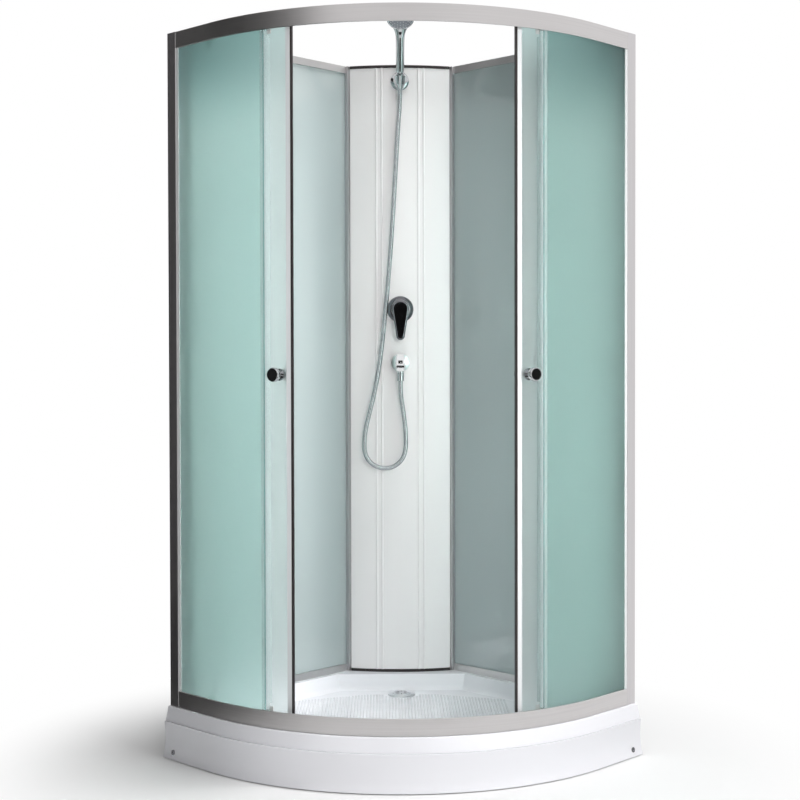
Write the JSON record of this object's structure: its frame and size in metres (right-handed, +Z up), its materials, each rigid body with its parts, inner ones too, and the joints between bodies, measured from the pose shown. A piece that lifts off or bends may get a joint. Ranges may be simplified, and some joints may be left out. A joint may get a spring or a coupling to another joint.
{
  "type": "shower cabin",
  "caption": "Quadrant corner shower cabin: low white tray, curved sliding frosted doors, tinted wall panes and a corner column with lever mixer, hose and hand shower.",
  "frame": {"origin": "on the floor, under the centre of the square plan", "axes": "+Z up; the wall planes face -X and +Y, so the curved front faces +X and -Y"},
  "size_m": [0.91, 0.91, 2.0684],
  "materials": {
    "white_acrylic": "gloss",
    "satin_aluminium": "satin",
    "frosted_glass": "frosted",
    "tinted_glass": "polished",
    "column_silver": "satin",
    "black_rubber": "matte",
    "clear_seal": "translucent",
    "chrome": "polished",
    "spray_grey": "matte",
    "brass": "cast",
    "copper_pipe": "drawn",
    "roller_white": "smooth",
    "zinc_steel": "galvanised",
    "grey_pipe": "matte"
  },
  "bodies": {
    "cabin": {"apron_screws": "chrome", "bottom_rail": "satin_aluminium", "column_bottom_strip": "black_rubber", "column_panel": "column_silver", "column_top_strip": "black_rubber", "drain_strainer": "chrome", "drain_trap": "grey_pipe", "front_apron": "white_acrylic", "hose_nut": "chrome", "left_column_trim": "satin_aluminium", "left_fixed_glass": "frosted_glass", "left_fixed_seal": "clear_seal", "left_post": "satin_aluminium", "left_post_bead": "satin_aluminium", "left_wall_glass": "tinted_glass", "left_wall_trims": "satin_aluminium", "mixer_body": "brass", "mixer_escutcheon": "chrome", "outlet_elbow": "chrome", "outlet_pipe": "copper_pipe", "right_column_trim": "satin_aluminium", "right_fixed_glass": "frosted_glass", "right_fixed_seal": "clear_seal", "right_post": "satin_aluminium", "right_post_bead": "satin_aluminium", "right_wall_glass": "tinted_glass", "right_wall_trims": "satin_aluminium", "shower_holder": "chrome", "shower_hose": "chrome", "top_rail": "satin_aluminium", "tray": "white_acrylic", "tray_feet": "zinc_steel", "tray_frame": "zinc_steel"},
    "left_door": {"left_door_glass": "frosted_glass", "left_door_seal": "clear_seal", "left_rear_seal": "clear_seal", "left_door_magnet": "black_rubber", "left_outer_knob": "chrome", "left_inner_knob": "chrome", "left_hangers": "roller_white"},
    "right_door": {"right_door_glass": "frosted_glass", "right_door_seal": "clear_seal", "right_rear_seal": "clear_seal", "right_door_magnet": "black_rubber", "right_outer_knob": "chrome", "right_inner_knob": "chrome", "right_hangers": "roller_white"},
    "mixer_spindle": {"mixer_spindle": "brass"},
    "mixer_lever": {"mixer_lever": "chrome"},
    "handset": {"hand_shower": "chrome", "spray_plate": "spray_grey", "hose_cone": "chrome"},
    "left_bottom_front_wheel": {"left_bottom_front_wheel": "roller_white"},
    "left_bottom_rear_wheel": {"left_bottom_rear_wheel": "roller_white"},
    "left_top_front_wheel": {"left_top_front_wheel": "roller_white"},
    "left_top_rear_wheel": {"left_top_rear_wheel": "roller_white"},
    "right_bottom_front_wheel": {"right_bottom_front_wheel": "roller_white"},
    "right_bottom_rear_wheel": {"right_bottom_rear_wheel": "roller_white"},
    "right_top_front_wheel": {"right_top_front_wheel": "roller_white"},
    "right_top_rear_wheel": {"right_top_rear_wheel": "roller_white"}
  },
  "joints": [
    {"name": "left_door_slide", "type": "hinge", "parent": "cabin", "child": "left_door", "pos_m": [-0.27, 0.27, 1.033], "axis": [0, 0, 1], "range_deg": [0, 24.25]},
    {"name": "right_door_slide", "type": "hinge", "parent": "cabin", "child": "right_door", "pos_m": [-0.27, 0.27, 1.033], "axis": [0, 0, -1], "range_deg": [0, 24.25]},
    {"name": "left_top_front_wheel_roll", "type": "hinge", "parent": "left_door", "child": "left_top_front_wheel", "pos_m": [-0.09271, -0.39166, 1.9133], "axis": [0.2588, -0.9659, 0], "continuous": true},
    {"name": "left_top_rear_wheel_roll", "type": "hinge", "parent": "left_door", "child": "left_top_rear_wheel", "pos_m": [-0.30048, -0.41432, 1.9133], "axis": [-0.0445, -0.999, 0], "continuous": true},
    {"name": "left_bottom_front_wheel_roll", "type": "hinge", "parent": "left_door", "child": "left_bottom_front_wheel", "pos_m": [-0.09271, -0.39166, 0.1527], "axis": [0.2588, -0.9659, 0], "continuous": true},
    {"name": "left_bottom_rear_wheel_roll", "type": "hinge", "parent": "left_door", "child": "left_bottom_rear_wheel", "pos_m": [-0.30048, -0.41432, 0.1527], "axis": [-0.0445, -0.999, 0], "continuous": true},
    {"name": "right_top_front_wheel_roll", "type": "hinge", "parent": "right_door", "child": "right_top_front_wheel", "pos_m": [0.39166, 0.09271, 1.9133], "axis": [0.9659, -0.2588, 0], "continuous": true},
    {"name": "right_top_rear_wheel_roll", "type": "hinge", "parent": "right_door", "child": "right_top_rear_wheel", "pos_m": [0.41432, 0.30048, 1.9133], "axis": [0.999, 0.0445, 0], "continuous": true},
    {"name": "right_bottom_front_wheel_roll", "type": "hinge", "parent": "right_door", "child": "right_bottom_front_wheel", "pos_m": [0.39166, 0.09271, 0.1527], "axis": [0.9659, -0.2588, 0], "continuous": true},
    {"name": "right_bottom_rear_wheel_roll", "type": "hinge", "parent": "right_door", "child": "right_bottom_rear_wheel", "pos_m": [0.41432, 0.30048, 0.1527], "axis": [0.999, 0.0445, 0], "continuous": true},
    {"name": "mixer_turn", "type": "hinge", "parent": "cabin", "child": "mixer_spindle", "pos_m": [-0.28458, 0.28458, 1.211], "axis": [0.7071, -0.7071, 0], "range_deg": [-45, 45]},
    {"name": "lever_lift", "type": "hinge", "parent": "mixer_spindle", "child": "mixer_lever", "pos_m": [-0.26903, 0.26903, 1.211], "axis": [-0.7071, -0.7071, 0], "range_deg": [0, 25]},
    {"name": "handset_lift", "type": "slide", "parent": "cabin", "child": "handset", "axis": [0.2988, -0.2988, 0.9063], "range_m": [0, 0.06]}
  ],
  "couplings": [
    {"joint": "left_top_front_wheel_roll", "follows": "left_door_slide", "ratio": -62.273},
    {"joint": "left_top_rear_wheel_roll", "follows": "left_door_slide", "ratio": -62.273},
    {"joint": "left_bottom_front_wheel_roll", "follows": "left_door_slide", "ratio": 62.273},
    {"joint": "left_bottom_rear_wheel_roll", "follows": "left_door_slide", "ratio": 62.273},
    {"joint": "right_top_front_wheel_roll", "follows": "right_door_slide", "ratio": 62.273},
    {"joint": "right_top_rear_wheel_roll", "follows": "right_door_slide", "ratio": 62.273},
    {"joint": "right_bottom_front_wheel_roll", "follows": "right_door_slide", "ratio": -62.273},
    {"joint": "right_bottom_rear_wheel_roll", "follows": "right_door_slide", "ratio": -62.273}
  ]
}
